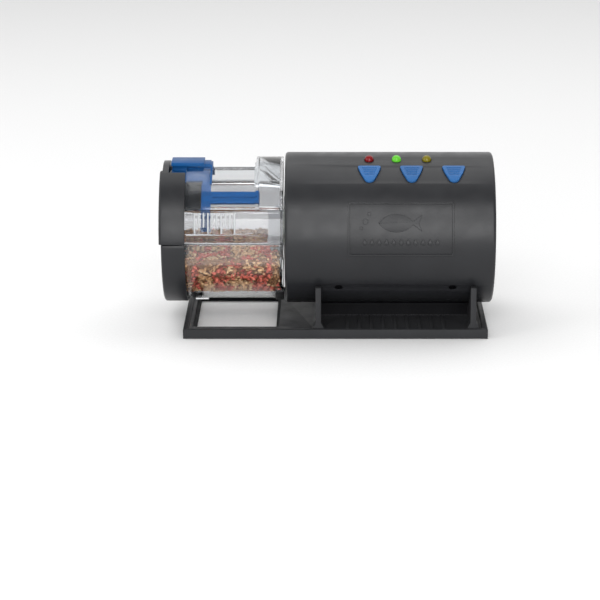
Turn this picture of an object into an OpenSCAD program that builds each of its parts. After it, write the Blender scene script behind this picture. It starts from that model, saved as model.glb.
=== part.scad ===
// Automatic fish feeder: a battery motor housing turns a clear feed drum over a chute
// in the tray that carries it. X runs along the drum's axis, -Y is the front and +Z is up.
// The origin is on the tray's underside, below the middle of the feeder. Millimetres.

/* [Motor housing] */
// Outer radius of the motor housing
body_r = 33; // [32:0.5:40]
// Length of the motor housing
body_l = 90.4; // [88:0.2:110]
// Wall of the motor housing
body_wall = 2.2; // [1.8:0.1:3]
// Rounding of the housing's two end edges
body_edge = 1.4; // [0.8:0.1:2]

/* [Feed drum] */
// Outer radius of the clear drum
drum_r = 31; // [29:0.5:31.5]
// Length of the clear drum that shows between the end cap and the housing
drum_l = 41.9; // [40:0.1:52]
// Wall of the clear drum
drum_wall = 2; // [1.6:0.1:2.4]
// Length of the black end cap
cap_l = 11.1; // [10.5:0.1:14]
// How far the end cap stands proud of the drum
cap_proud = 1.4; // [1:0.1:1.8]
// Height of the feed below the drum's axis
feed_drop = 7; // [2:0.5:14]

/* [Dosing slider] */
// Length of the dosing slot
slot_l = 19.2; // [16:0.2:22]
// Travel of the dosing slider
slider_travel = 7.5; // [3:0.5:7.5]
// Length of the slider's thumb tab
tab_l = 14.2; // [10:0.1:15]
// Width of the slider's strap
strap_w = 4.1; // [3:0.1:5]

/* [Controls] */
// Distance between two buttons
button_pitch = 18.15; // [14:0.05:19]
// Button travel
button_travel = 0.8; // [0.4:0.1:0.8]
// Radius of the indicator lenses
lens_r = 2; // [1.5:0.1:2.1]

/* [Batteries] */
// Radius of a battery cell
cell_r = 7.25; // [6.5:0.05:7.5]
// Length of a battery cell with its nub
cell_l = 50.5; // [44:0.5:52]

/* [Gears] */
// Gear module
gear_m = 0.6; // [0.5:0.05:0.6]
// Teeth of each small gear
pinion_teeth = 12; // [12:1:13]
// Teeth of each large gear
wheel_teeth = 36; // [34:1:36]

/* [Tray] */
// Height of the housing's underside over the tray's underside
housing_lift = 8; // [7.5:0.5:16]
// Thickness of the tray's floor
tray_t = 3; // [2:0.2:4]
// Height of the rim over the tray's floor
rim_h = 1; // [0.5:0.1:2]
// Thickness of the cradle's ribs
rib_t = 2.4; // [2:0.1:3.5]
// Distance between the cradle's ribs
rib_span = 66.9; // [60:0.1:75]
// Length of the chute opening along the axis
chute_l = 34.7; // [28:0.1:38]
// Width of the chute opening from front to back
chute_w = 48; // [40:1:54]

/* [Hidden] */
$fn = 64;

// Clearances
gap = 0.3;             // between pieces that move past each other
press_gap = 0.02;      // between pieces that are pushed together
running_gap = 0.05;    // radial, of a shaft in its bearing
seam = 0.4;            // parting line between drum and lid

// Height of the drum's axis over the tray's underside
axis_h = body_r + housing_lift;

// Places along the axis
drum_gap = 0.8;                                  // drum to housing
total_l = cap_l + drum_l + drum_gap + body_l;
cap_x0 = -total_l / 2;
cap_x1 = cap_x0 + cap_l;
drum_x1 = cap_x1 + drum_l;
spigot_l = 3;                                    // drum wall that sits inside the end cap
drum_x0 = cap_x1 - spigot_l;
body_x0 = drum_x1 + drum_gap;
body_x1 = total_l / 2;
body_in_r = body_r - body_wall;
drum_in_r = drum_r - drum_wall;
end_t = 1.2;                                     // drum's end wall beside the housing
cap_r = drum_r + cap_proud;

// Angles are measured from the front horizontal, upwards over the top
band_a = 27.5;         // upper edge of the lid's front band
cover_a = 28.2;        // lower edge of the dosing cover
ledge_a = 30.4;        // where the cover's ledge ends
slot_a = 55.2;          // front edge of the dosing slot
cap_cut_a = 60.8;      // front edge of the cut-out in the end cap
rim_cut_a = 63;        // the same at the cap's outer rim
rear_cut_a = 47;       // rear edge of the cut-out, measured from the back
cut_floor = 29.3;      // floor of the cut-out over the axis

// Radii inside the lid
cover_drop = 2.5;                                // cover's surface below the drum's
cover_t = 1.5;
cover_r = drum_r - cover_drop;
slider_t = 1.5;
slider_r = cover_r - cover_t - gap;
sleeve_t = 1.5;
sleeve_r = slider_r - slider_t - gap;

// Dosing cover and slider along the axis
block_wall = 1.5;
block_x0 = drum_x1 - 11.7;                       // left face of the raised block
slot_x1 = block_x0 - 0.7;
slot_x0 = slot_x1 - slot_l;
strap_x1 = slot_x0 + 0.8;
strap_x0 = strap_x1 - strap_w;
end_wall_t = 2.7;                                // end wall of the cap
cap_face = 0.8;                                  // depth of the cap's outer face
cap_wall_x1 = cap_x0 + cap_face + end_wall_t;
tab_x0 = cap_wall_x1 + gap + 0.6;
tab_x1 = tab_x0 + tab_l;
tab_low = 28.8;                                  // underside of the tab over the axis
tab_t = 1.5;
tab_front = -6;
tab_back = 5;
neck_w = 8;
deck_a = 61.5;         // front edge of the slider's deck
spine_top = 29.3;      // crest of the slider over the axis
guide_a = 59.5;        // upper edge of the guide block beside the strap
rail_a0 = 36.6;
rail_a1 = 48.5;
rail_x1 = block_x0 + 1.6;

// Drive
bulkhead_inset = 1.2;
bulkhead_t = 2.5;
bulk_x0 = body_x0 + bulkhead_inset;
bulk_x1 = bulk_x0 + bulkhead_t;
shaft_r = 5;
spindle_r = 2;
bush_r = 6.5;
dog_l = 5.3;
dog_core_r = 4.8;
dog_r = 7.6;
dog_w = 2.4;
dog_x1 = body_x0 - gap;
dog_x0 = dog_x1 - dog_l;
socket_gap = 0.35;
socket_r = 10.5;
socket_floor = 1.5;
socket_x0 = dog_x0 - socket_gap - socket_floor;

// Gear train
addendum = 0.75;
dedendum = 1.25;
backlash = 0.16;
pressure = 20;
layer_l = 2.6;
layer_gap = 0.3;
mesh_d = gear_m * (pinion_teeth + wheel_teeth) / 2;
layer_1 = bulk_x1 + 0.5;
layer_2 = layer_1 + layer_l + layer_gap;
layer_3 = layer_2 + layer_l + layer_gap;
plate_x0 = layer_3 + layer_l + 0.9;
plate_t = 2;
plate_x1 = plate_x0 + plate_t;
b_angle = 90;                                    // gear B stands over the drum's axis
a_angle = 209.8;                                 // from gear B to gear A
p_angle = 288.2;                                 // from gear A to the motor's pinion
b_at = mesh_d * [cos(b_angle), sin(b_angle)];
a_at = b_at + mesh_d * [cos(a_angle), sin(a_angle)];
p_at = a_at + mesh_d * [cos(p_angle), sin(p_angle)];
pin_r = 1;
motor_shaft_r = 1;

// Screw posts and columns, as [y, z] from the axis
post_r = 2.6;
post_ring = body_in_r - 2.4;
post_angles = [60, -75, 165];
column_r = 1.8;
columns = [[14.5, 3], [3, -15.5], [-24, -4]];
screw_r = 1;
screw_head_r = 1.7;
screw_head_t = 0.9;

// Motor
motor_r = 10;
motor_l = 22;
motor_bell_l = 3;
motor_x0 = plate_x1 + 0.2;

// Control panel: parts stand along one normal
panel_a = 64;
board_top = body_r - 11;
board_t = 1.6;
board_x0 = body_x0 + 26.3;
board_x1 = body_x1 - 6.1;
board_half = 11;
button_across = 0.4;           // top of the buttons from the panel's normal
switch_across = -2.6;          // middle of the switches from the panel's normal
lens_across = 7.09;            // middle of the lenses from the panel's normal
button_x = body_x1 - 54;       // first button
button_proud = 0.7;
flange_top = body_r - 4.2;
flange_t = 1.2;
stem_r = 1.6;
switch_w = 6;
switch_h = 3.2;
plunger_r = 1.75;
plunger_h = 0.6;
stem_low = board_top + switch_h + plunger_h + button_travel + 0.1;
lens_x = [button_x, button_x + 11.8, button_x + 24.9];

// Housing screws and chassis
chassis_a = -38;
chassis_in = body_r - 11.4;
chassis_t = 2;
chassis_half = 14;
chassis_x0 = body_x0 + 18.5;
chassis_x1 = body_x1 - 6.5;
low_screw_x = [body_x0 + 23.2, body_x0 + 72.4];

// Battery bay at the back
cell_y = body_r - 16;
cell_z = cell_r + 0.65;
holder_t = 1.6;
spring_l = 4.4;
contact_t = 0.4;
holder_x0 = body_x0 + 23.3;
holder_in_l = cell_l + spring_l + 2 * contact_t + 0.3;
cell_x0 = holder_x0 + holder_t + contact_t + 0.1;
holder_x1 = holder_x0 + 2 * holder_t + holder_in_l;
door_a = 32;
door_x0 = holder_x0 - 1;
door_x1 = body_x1 - 4.1;
door_gap_a = 0.7;

// Tray
tray_x0 = cap_x0 + 9.9;
tray_x1 = body_x1 - 2.9;
tray_half = body_r + 0.6;
rim_w = 2.2;
chute_x0 = tray_x0 + 5.3;
chute_ledge = 1.4;
chute_ledge_d = 1.2;
rib_x = body_x0 + 14.4;        // middle of the left rib
rib_half = body_r - 2.4;
rib_top = axis_h - 19.3;
saddle_half = 8;
cradle_r = body_r + gap;
gusset = 1.6;
floor_bars = 9;
bar_pitch = 5.2;
bar_w = 1.3;
bar_h = 0.5;

// Hinge of the lid
hinge_y = drum_r + 0.2;
knuckle_r = 2;
knuckle_l = 4;
hinge_pin_r = 0.9;
hinge_relief = 3.2;
knuckle_sets = [cap_x1 + 3, drum_x1 - 12];       // left end of each pair of knuckles

// ---- Helpers ----

// Puts children drawn round the local Z axis round the drum's axis, with local Z along X
module on_axis(x = 0) translate([x, 0, axis_h]) rotate([90, 0, 90]) children();

// Part of a tube round the drum's axis, from angle a0 to a1 and from x0 to x1
module arc_wall(r_in, r_out, a0, a1, x0, x1)
    on_axis(x0)
        rotate_extrude(angle = a1 - a0, start = 180 - a1)
            translate([r_in, 0]) square([r_out - r_in, x1 - x0]);

// A disc or rod round a line parallel to the axis, at = [y, z] from the axis
module rod(r, x0, x1, at = [0, 0])
    on_axis(x0) translate([at.x, at.y, 0]) cylinder(r = r, h = x1 - x0);

// Children are drawn along the local Z axis, which points out of the axis at angle a
module facing(a, x = 0) translate([x, 0, axis_h]) rotate([90 - a, 0, 0]) children();

// Everything above or below a height over the axis
module above(h) translate([-total_l, -total_l, axis_h + h]) cube([2 * total_l, 2 * total_l, total_l]);
module below(h) translate([-total_l, -total_l, axis_h + h - total_l]) cube([2 * total_l, 2 * total_l, total_l]);

function place(r, a) = [-r * cos(a), r * sin(a)];

function arc_pts(c, r, a0, a1, n = 5) = [for (i = [0:n]) c + r * [cos(a0 + (a1 - a0) * i / n), sin(a0 + (a1 - a0) * i / n)]];

// A screw along local Z: its head sits on z = 0 and its thread runs down
module screw(l, r = screw_r, head_r = screw_head_r, head_t = screw_head_t) {
    translate([0, 0, -l]) cylinder(r = r, h = l + 0.01);
    difference() {
        cylinder(r = head_r, h = head_t);
        for (turn = [0, 90])
            rotate([0, 0, turn]) translate([-head_r * 0.6, -0.2, head_t * 0.45]) cube([head_r * 1.2, 0.4, head_t]);
    }
}

// ---- Involute gears ----

function inv(a) = tan(a) * 180 / PI - a;
function half_tooth(r, z) = let (
        rp = gear_m * z / 2,
        at_pitch = (PI * gear_m / 2 - backlash) / (2 * rp) * 180 / PI)
    at_pitch + inv(pressure) - (r > rp * cos(pressure) ? inv(acos(rp * cos(pressure) / r)) : 0);
function polar(r, a) = [r * cos(a), r * sin(a)];
function tooth(z, c, n = 3) = let (
        rp = gear_m * z / 2,
        rf = rp - dedendum * gear_m,
        ra = rp + addendum * gear_m,
        rs = max(rp * cos(pressure), rf + 0.01),
        flank = [for (i = [0:n]) rs + (ra - rs) * i / n])
    concat(
        [polar(rf, c - half_tooth(rs, z))],
        [for (r = flank) polar(r, c - half_tooth(r, z))],
        [for (i = [n:-1:0]) polar(flank[i], c + half_tooth(flank[i], z))],
        [polar(rf, c + half_tooth(rs, z))]);
module gear(z, phase, l)
    linear_extrude(l) polygon([for (i = [0:z - 1]) each tooth(z, phase + 360 * i / z)]);

// Phase of a gear that meshes at rest with one of z1 teeth and phase f1, in direction d from it
function mesh_phase(z1, z2, f1, d) = d + 180 + 180 / z2 - z1 / z2 * (f1 - d);
b_phase = mesh_phase(wheel_teeth, pinion_teeth, 0, b_angle);
a_phase = mesh_phase(wheel_teeth, pinion_teeth, 0, a_angle);
p_phase = mesh_phase(wheel_teeth, pinion_teeth, 0, p_angle);

// ---- Tray ----

module rib(x) {
    on_axis(x - rib_t / 2) linear_extrude(rib_t) difference() {
        translate([-rib_half, tray_t - axis_h - 0.01]) square([2 * rib_half, rib_top - tray_t]);
        circle(r = cradle_r);
    }
    // Gussets at the rib's two front and two back corners
    for (end = [-1, 1])
        translate([x, end * (rib_half - 3), tray_t])
            rotate([90, 0, 0]) translate([0, 0, -3]) linear_extrude(6)
                polygon([
                    [-rib_t / 2 - gusset, -0.01], [rib_t / 2 + gusset, -0.01],
                    [rib_t / 2, gusset * 2], [-rib_t / 2, gusset * 2]]);
}

module base_tray() color("#2b2c2f") {
    difference() {
        union() {
            difference() {
                translate([tray_x0, -tray_half, 0]) cube([tray_x1 - tray_x0, 2 * tray_half, tray_t + rim_h]);
                translate([tray_x0 + rim_w, -tray_half + rim_w, tray_t])
                    cube([tray_x1 - tray_x0 - 2 * rim_w, 2 * (tray_half - rim_w), rim_h + 1]);
            }
            for (x = [rib_x, rib_x + rib_span]) rib(x);
            difference() {
                translate([rib_x, -saddle_half, tray_t - 0.01])
                    cube([rib_span, 2 * saddle_half, axis_h - body_r + 3 - tray_t]);
                rod(cradle_r, body_x0 - 1, body_x1 + 1);
            }
            for (i = [0:floor_bars - 1])
                translate([
                    rib_x + rib_span / 2 + (i - (floor_bars - 1) / 2) * bar_pitch - bar_w / 2,
                    -tray_half + rim_w + 2, tray_t - 0.01])
                    cube([bar_w, tray_half - rim_w - 4 - saddle_half, bar_h]);
        }
        translate([chute_x0, -chute_w / 2, -1]) cube([chute_l, chute_w, tray_t + rim_h + 2]);
        translate([chute_x0 - chute_ledge, -chute_w / 2 - chute_ledge, tray_t - chute_ledge_d])
            cube([chute_l + 2 * chute_ledge, chute_w + 2 * chute_ledge, rim_h + 2]);
    }
}

// ---- Motor housing ----

module button_outline(grow = 0)
    hull() {
        for (side = [-1, 1]) {
            translate([side * 4, 0.05]) circle(r = 0.85 + grow, $fn = 32);
            translate([side * 2.8, -3]) circle(r = 1.1 + grow, $fn = 32);
        }
        translate([0, -6]) circle(r = 2.4 + grow, $fn = 32);
    }

// A plain fish for the raised emblem
module fish()
    union() {
        intersection() {
            translate([0, -7]) circle(r = 12);
            translate([0, 7]) circle(r = 12);
        }
        polygon([[8, 0], [14, 4.6], [12.4, 0], [14, -4.6]]);
    }

// The emblem: a fish with bubbles over a row of water drops
module badge_motif() {
    translate([-2, 2.6]) scale(0.78) fish();
    for (dot = [[-15.2, 3.2, 1.2], [-13.6, 6.6, 0.8], [-17, 0.4, 0.7]]) translate([dot.x, dot.y]) circle(r = dot.z);
    for (i = [-5:5]) translate([i * 3.1, -6.1]) {
        circle(r = 0.85);
        polygon([[-0.78, 0.3], [0.78, 0.3], [0, 1.9]]);
    }
}

badge_x0 = body_x0 + 27.1;
badge_x1 = badge_x0 + 45.3;
badge_a0 = -7.6;
badge_a1 = 33.2;
badge_h = 0.5;
badge_w = 0.8;

// Raised emblem, seated on the housing's surface
module badge() color("#34353a") {
    seat_r = body_r + press_gap;
    line_a = badge_w / body_r * 180 / PI;
    difference() {
        arc_wall(seat_r, seat_r + badge_h, badge_a0, badge_a1, badge_x0, badge_x1);
        arc_wall(seat_r - 1, seat_r + 1, badge_a0 + line_a, badge_a1 - line_a, badge_x0 + badge_w, badge_x1 - badge_w);
    }
    intersection() {
        arc_wall(seat_r, seat_r + badge_h, badge_a0 + 3, badge_a1 - 3, badge_x0 + 3, badge_x1 - 3);
        facing((badge_a0 + badge_a1) / 2, (badge_x0 + badge_x1) / 2)
            linear_extrude(body_r + 2) badge_motif();
    }
}

module housing_shell() color("#3a3b3e") difference() {
    union() {
        on_axis() rotate_extrude() polygon(concat(
            [[body_in_r, body_x0]],
            arc_pts([body_r - body_edge, body_x0 + body_edge], body_edge, -90, 0),
            arc_pts([body_r - body_edge, body_x1 - body_edge], body_edge, 0, 90),
            [[0, body_x1], [0, body_x1 - body_wall], [body_in_r, body_x1 - body_wall]]));
        for (a = post_angles) rod(post_r, bulk_x1, bulk_x1 + 8, place(post_ring, a));
    }
    for (a = post_angles) rod(screw_r - 0.1, bulk_x1 - 1, bulk_x1 + 7, place(post_ring, a));
    arc_wall(body_in_r - 2, body_r + 2, 180 - door_a - door_gap_a, 180 + door_a + door_gap_a,
             door_x0 - gap, door_x1 + gap);
    for (i = [0:2])
        facing(panel_a, button_x + i * button_pitch) translate([0, button_across, body_r - 8])
            linear_extrude(12) button_outline(0.25);
    for (x = lens_x)
        facing(panel_a, x) translate([0, lens_across, body_r - 8]) cylinder(r = lens_r + 0.15, h = 12);
    for (x = low_screw_x) facing(chassis_a, x) {
        translate([0, 0, body_r - 8]) cylinder(r = screw_r + 0.15, h = 12);
        translate([0, 0, body_r - 1.2]) cylinder(r = screw_head_r + 0.15, h = 4);
    }
}

module drive_bulkhead() color("#303134") difference() {
    rod(body_in_r - 0.1, bulk_x0, bulk_x1);
    rod(bush_r + press_gap, bulk_x0 - 1, bulk_x1 + 1);
    for (a = post_angles) rod(screw_r + 0.15, bulk_x0 - 1, bulk_x1 + 1, place(post_ring, a));
    for (at = [a_at, b_at]) rod(pin_r + press_gap, bulk_x1 - 1.4, bulk_x1 + 1, at);
}

module bulkhead_screws() color("silver")
    for (a = post_angles)
        on_axis(bulk_x0) translate([place(post_ring, a).x, place(post_ring, a).y, 0])
            mirror([0, 0, 1]) screw(bulkhead_t + 5, r = screw_r - 0.12);

module hub_bushing() color("#c9a75a") difference() {
    rod(bush_r, bulk_x0 - 0.4, bulk_x1 + 0.3);
    rod(shaft_r + running_gap, bulk_x0 - 1, bulk_x1 + 1);
}

module gear_plate() color("#d8d4c8") difference() {
    union() {
        rod(body_r - 6.5, plate_x0, plate_x1);
        for (at = columns) rod(column_r, bulk_x1 + 0.02, plate_x0 + 0.5, at);
    }
    for (at = [a_at, b_at]) rod(pin_r + press_gap, plate_x0 - 1, plate_x1 + 1, at);
    rod(spindle_r + running_gap, plate_x0 - 1, plate_x1 + 1);
    rod(3, plate_x0 - 1, plate_x1 + 1, p_at);
    for (at = columns) rod(screw_r - 0.1, bulk_x1 + 2, plate_x1 + 1, at);
}

module gear_pins() color("silver")
    for (at = [a_at, b_at]) rod(pin_r, bulk_x1 - 1.3, plate_x1 - 0.2, at);

module gearbox_screws() color("silver")
    for (at = columns)
        on_axis(plate_x1) translate([at.x, at.y, 0]) screw(6, r = screw_r - 0.12);

module motor_can() color("#b9bcc0") difference() {
    rod(motor_r, motor_x0, motor_x0 + motor_l, p_at);
    for (side = [-1, 1])
        on_axis(motor_x0 - 1) translate([p_at.x - motor_r, p_at.y + (side > 0 ? 7.7 : -11.7), 0])
            cube([2 * motor_r, 4, motor_l + 2]);
    rod(motor_shaft_r + running_gap, motor_x0 - 1, motor_x0 + 6, p_at);
}

module motor_end_bell() color("#e4e1d6") {
    bell_x0 = motor_x0 + motor_l;
    rod(motor_r - 3, bell_x0, bell_x0 + motor_bell_l, p_at);
    for (side = [-1, 1])
        on_axis(bell_x0 + motor_bell_l - 0.01) translate([p_at.x + side * 4 - 0.2, p_at.y - 1, 0])
            cube([0.4, 2, 2.5]);
}

module chassis_plate() color("#3a3b3e") difference() {
    union() {
        facing(chassis_a, chassis_x0) translate([0, -chassis_half, chassis_in])
            cube([chassis_x1 - chassis_x0, 2 * chassis_half, chassis_t]);
        for (x = low_screw_x) facing(chassis_a, x) translate([0, 0, chassis_in])
            cylinder(r = post_r + 0.4, h = body_in_r - chassis_in - 0.3);
        // Arms that carry the battery holder
        for (x = [chassis_x0 + 2, chassis_x1 - 6]) facing(chassis_a, x)
            translate([0, -chassis_half, chassis_in - 5]) cube([4, 3, 6]);
    }
    for (x = low_screw_x) facing(chassis_a, x) translate([0, 0, chassis_in - 6])
        cylinder(r = screw_r - 0.1, h = body_in_r);
}

module housing_screws() color("silver")
    for (x = low_screw_x) facing(chassis_a, x) translate([0, 0, body_r - 1.2]) screw(6, r = screw_r - 0.12);

module on_panel(x, across, up) facing(panel_a, x) translate([0, across, up]) children();

module control_board() color("#1f6b3a") difference() {
    on_panel(board_x0, -board_half, board_top - board_t)
        cube([board_x1 - board_x0, 2 * board_half, board_t]);
    for (x = [board_x0 + 3, board_x1 - 3])
        on_panel(x, board_half - 3, board_top - board_t - 1) cylinder(r = 1.1, h = board_t + 2);
}

module tact_switches() color("#26272a")
    for (i = [0:2]) {
        x = button_x + i * button_pitch;
        on_panel(x - switch_w / 2, switch_across - switch_w / 2, board_top + 0.02) cube([switch_w, switch_w, switch_h]);
        on_panel(x, switch_across, board_top + switch_h) cylinder(r = plunger_r, h = plunger_h);
    }

module timer_chip() color("#18191b")
    on_panel(button_x + button_pitch / 2 - 5, -3, board_top - board_t - 2) {
        cube([10, 6, 1.6]);
        for (i = [0:5], side = [0, 1])
            translate([1 + i * 1.6, side ? 6 - 0.01 : -0.99, 0.5]) cube([0.4, 1, 1.47]);
    }

module led(x) {
    dome_base = body_r * cos(asin(lens_across / body_r)) - lens_r + 2;
    on_panel(x, lens_across, 0) {
        translate([0, 0, dome_base]) rotate_extrude()
            polygon(concat([[0, -5], [lens_r, -5]], arc_pts([0, 0], lens_r, 0, 90, 9)));
        for (side = [-1, 1])
            translate([side * 0.9 - 0.25, -0.25, board_top + 0.02]) cube([0.5, 0.5, dome_base - 5 - board_top]);
    }
}
module led_red() color("#b01018") led(lens_x[0]);
module led_green() color("#6fd43a") led(lens_x[1]);
module led_yellow() color("#c9a010") led(lens_x[2]);

module button(i) color("#4a80c4") {
    x = button_x + i * button_pitch;
    difference() {
        intersection() {
            on_panel(x, button_across, flange_top - 0.01) linear_extrude(12) button_outline();
            rod(body_r + button_proud, body_x0, body_x1);
        }
        // Grip grooves across the top
        for (g = [0:3])
            arc_wall(body_r + button_proud - 0.3, body_r + 2, 56.4 + g * 2.2, 57.2 + g * 2.2, x - 2.1 - g * 0.35, x + 2.1 + g * 0.35);
    }
    on_panel(x - 6, switch_across - 5, flange_top - flange_t) cube([12, 10, flange_t]);
    on_panel(x, switch_across, stem_low) cylinder(r = stem_r, h = flange_top - stem_low - 0.5);
}
module button_left() button(0);
module button_middle() button(1);
module button_right() button(2);

// ---- Batteries ----

module battery_holder() color("#303134") {
    back_y = cell_y - cell_r - 0.5 - holder_t;
    depth = cell_r + holder_t + 4;
    translate([holder_x0, back_y, axis_h - 2 * cell_r - 1.6])
        cube([holder_x1 - holder_x0, holder_t, 4 * cell_r + 3.2]);
    for (x = [holder_x0, holder_x1 - holder_t])
        translate([x, back_y, axis_h - 2 * cell_r - 0.4]) cube([holder_t, depth, 4 * cell_r + 0.8]);
    translate([holder_x0, back_y + 0.01, axis_h - 0.35]) cube([holder_x1 - holder_x0, holder_t + 4, 0.7]);
}

module battery_contacts() color("#c8cacc")
    for (side = [-1, 1]) {
        at = [cell_y, side * cell_z];
        sign_x = side > 0 ? 0 : 1;
        plate_x = sign_x ? holder_x1 - holder_t - contact_t - 0.02 : holder_x0 + holder_t + 0.02;
        far_x = sign_x ? holder_x0 + holder_t + 0.02 : holder_x1 - holder_t - contact_t - 0.02;
        // The flat contact
        translate([plate_x, at.x - 4, axis_h + at.y - 4]) cube([contact_t, 8, 8]);
        // The sprung contact, as flat turns on its own plate
        translate([far_x, at.x - 4, axis_h + at.y - 4]) cube([contact_t, 8, 8]);
        for (t = [0:3])
            on_axis(sign_x ? far_x + contact_t + t * 1.1 - 0.01 : far_x - (t + 1) * 1.1 + 0.01)
                translate([at.x, at.y, 0]) difference() {
                    cylinder(r = 4 - t * 0.5, h = 1.1 + 0.01);
                    translate([0, 0, -1]) cylinder(r = 3.2 - t * 0.5, h = 4);
                    translate([0, 0, 0.6]) difference() {
                        cylinder(r = 6, h = 4);
                        translate([-6, -1, -1]) cube([12, 2, 6]);
                    }
                }
    }

module battery(side) {
    at = [cell_y, side * cell_z];
    x0 = side > 0 ? cell_x0 : cell_x0 + spring_l;
    nub = 1.2;
    rod(cell_r, side > 0 ? x0 + nub : x0, side > 0 ? x0 + cell_l : x0 + cell_l - nub, at);
    rod(2.7, side > 0 ? x0 : x0 + cell_l - nub - 0.01, side > 0 ? x0 + nub + 0.01 : x0 + cell_l, at);
}
module battery_upper() color("#c08a3e") battery(1);
module battery_lower() color("#c08a3e") battery(-1);

module battery_door() color("#3a3b3e") difference() {
    union() {
        arc_wall(body_in_r, body_r, 180 - door_a, 180 + door_a, door_x0, door_x1);
        // Two snap tongues behind the opening's ends
        for (x = [door_x0 + 6, door_x1 - 12])
            arc_wall(body_in_r - 1.2, body_in_r + 0.01, 180 - 6, 180 + 6, x, x + 6);
    }
    // Finger grooves
    for (i = [-2:2])
        arc_wall(body_r - 0.6, body_r + 1, 180 - 8, 180 + 8, (door_x0 + door_x1) / 2 + i * 2 - 0.5, (door_x0 + door_x1) / 2 + i * 2 + 0.5);
}

// ---- Drive ----

module drive_hub() color("#e4e1d6") {
    rod(dog_core_r, dog_x0, dog_x1 + 0.01);
    for (turn = [0, 90])
        on_axis(dog_x0) rotate([0, 0, turn]) translate([-dog_r, -dog_w / 2, 0]) cube([2 * dog_r, dog_w, dog_l]);
    rod(shaft_r, dog_x1, layer_1 + layer_l + 0.2);
    rod(spindle_r, layer_1 + layer_l, plate_x1 - 0.2);
}

module wheel(phase, x, at, bore) difference() {
    on_axis(x) translate([at.x, at.y, 0]) gear(wheel_teeth, phase, layer_l);
    rod(bore, x - 1, x + layer_l + 1, at);
}
module pinion(phase, x, at, bore) difference() {
    on_axis(x) translate([at.x, at.y, 0]) gear(pinion_teeth, phase, layer_l + layer_gap);
    rod(bore, x - 1, x + layer_l + 1, at);
}

module output_gear() color("#f0ede2") wheel(0, layer_1, [0, 0], shaft_r + press_gap);
module gear_b() color("#f0ede2") {
    pinion(b_phase, layer_1, b_at, pin_r + running_gap);
    wheel(0, layer_2, b_at, pin_r + running_gap);
}
module gear_a() color("#f0ede2") {
    pinion(a_phase, layer_2, a_at, pin_r + running_gap);
    wheel(0, layer_3, a_at, pin_r + running_gap);
}
module motor_pinion() color("#c9a75a") {
    on_axis(layer_3) translate([p_at.x, p_at.y, 0]) gear(pinion_teeth, p_phase, layer_l);
    rod(motor_shaft_r, layer_3 + layer_l - 0.01, motor_x0 + 5, p_at);
}

// ---- Drum ----

// Room for a knuckle of the other half
module knuckle_room(x0)
    rod(knuckle_r + gap, x0 - gap / 2, x0 + knuckle_l + gap / 2, [hinge_y, 0]);

module knuckle(x0) rod(knuckle_r, x0, x0 + knuckle_l, [hinge_y, 0]);

// Bore for the pin of a pair of knuckles
module hinge_bore(x0, r) rod(r, x0 - 0.5, x0 + 2 * knuckle_l + gap + 0.5, [hinge_y, 0]);

module drum_trough() color("#cfd6dc", 0.35) {
    nib_x0 = cap_x1 + 2.9;
    difference() {
        union() {
            difference() {
                union() {
                    arc_wall(drum_in_r, drum_r, -180, 0, drum_x0, drum_x1);
                    arc_wall(0, drum_r - 0.5, -180, 0, drum_x0, drum_x0 + drum_wall);
                    arc_wall(0, drum_r - 0.5, -180, 0, drum_x1 - end_t, drum_x1);
                    rod(socket_r + 1.5, drum_x1 - end_t, drum_x1);
                    translate([nib_x0, -3, axis_h - drum_r - 1.2]) cube([5.7, 6, 2.5]);
                }
                // Hole for the drive socket
                rod(socket_r + press_gap, drum_x1 - end_t - 1, drum_x1 + 1);
                // Notch for the catch at the bottom of the right end
                arc_wall(drum_in_r + 0.2, drum_r + 1, -133, -47, drum_x1 - 3.5, drum_x1 + 1);
                for (x = knuckle_sets) knuckle_room(x + knuckle_l + gap);
            }
            for (x = knuckle_sets) knuckle(x);
        }
        for (x = knuckle_sets) hinge_bore(x, hinge_pin_r + press_gap);
    }
}

module drum_socket() color("#cfd6dc", 0.35) difference() {
    rod(socket_r, socket_x0, drum_x1);
    rod(dog_core_r + socket_gap, socket_x0 + socket_floor, drum_x1 + 1);
    for (turn = [0, 90])
        on_axis(socket_x0 + socket_floor) rotate([0, 0, turn])
            translate([-dog_r - socket_gap, -dog_w / 2 - socket_gap, 0])
                cube([2 * (dog_r + socket_gap), dog_w + 2 * socket_gap, dog_l + 3]);
}

// Profile of the end cap in [radius, x]; inset is the taper of its outer edge
module cap_profile(inset)
    polygon(concat(
        [[0, cap_x0 + cap_face], [cap_r - 3 - inset, cap_x0 + cap_face], [cap_r - 2.6 - inset, cap_x0 + inset]],
        arc_pts([cap_r - 1.2, cap_x0 + inset + 1.2], 1.2, -90, 0),
        [[cap_r, cap_x1], [drum_r + press_gap, cap_x1], [drum_r + press_gap, drum_x0 - 0.1],
         [drum_in_r, drum_x0 - 0.1], [drum_in_r, cap_wall_x1], [0, cap_wall_x1]]));

module end_cap_lower() color("#26272a") difference() {
    on_axis() rotate_extrude(angle = 180, start = 180) cap_profile(0.9);
    above(-0.01);
}

module drum_catch() color("#1d1e20")
    arc_wall(drum_in_r + 0.25, drum_r + 0.9, -132.5, -47.5, drum_x1 - 3.45, drum_x1 - 0.05);

module hinge_pins() color("silver")
    for (x = knuckle_sets) rod(hinge_pin_r, x, x + 2 * knuckle_l + gap, [hinge_y, 0]);

module feed_fill() color("#c08a6c") difference() {
    on_axis(drum_x0 + drum_wall + 0.3) linear_extrude(drum_x1 - drum_x0 - drum_wall - end_t - 0.6)
        difference() {
            circle(r = drum_in_r - 0.4);
            translate([-drum_r, -feed_drop]) square([2 * drum_r, 2 * drum_r]);
        }
    rod(socket_r + 0.4, socket_x0 - 0.4, drum_x1);
}

// ---- Lid, dosing cover and slider ----

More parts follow.
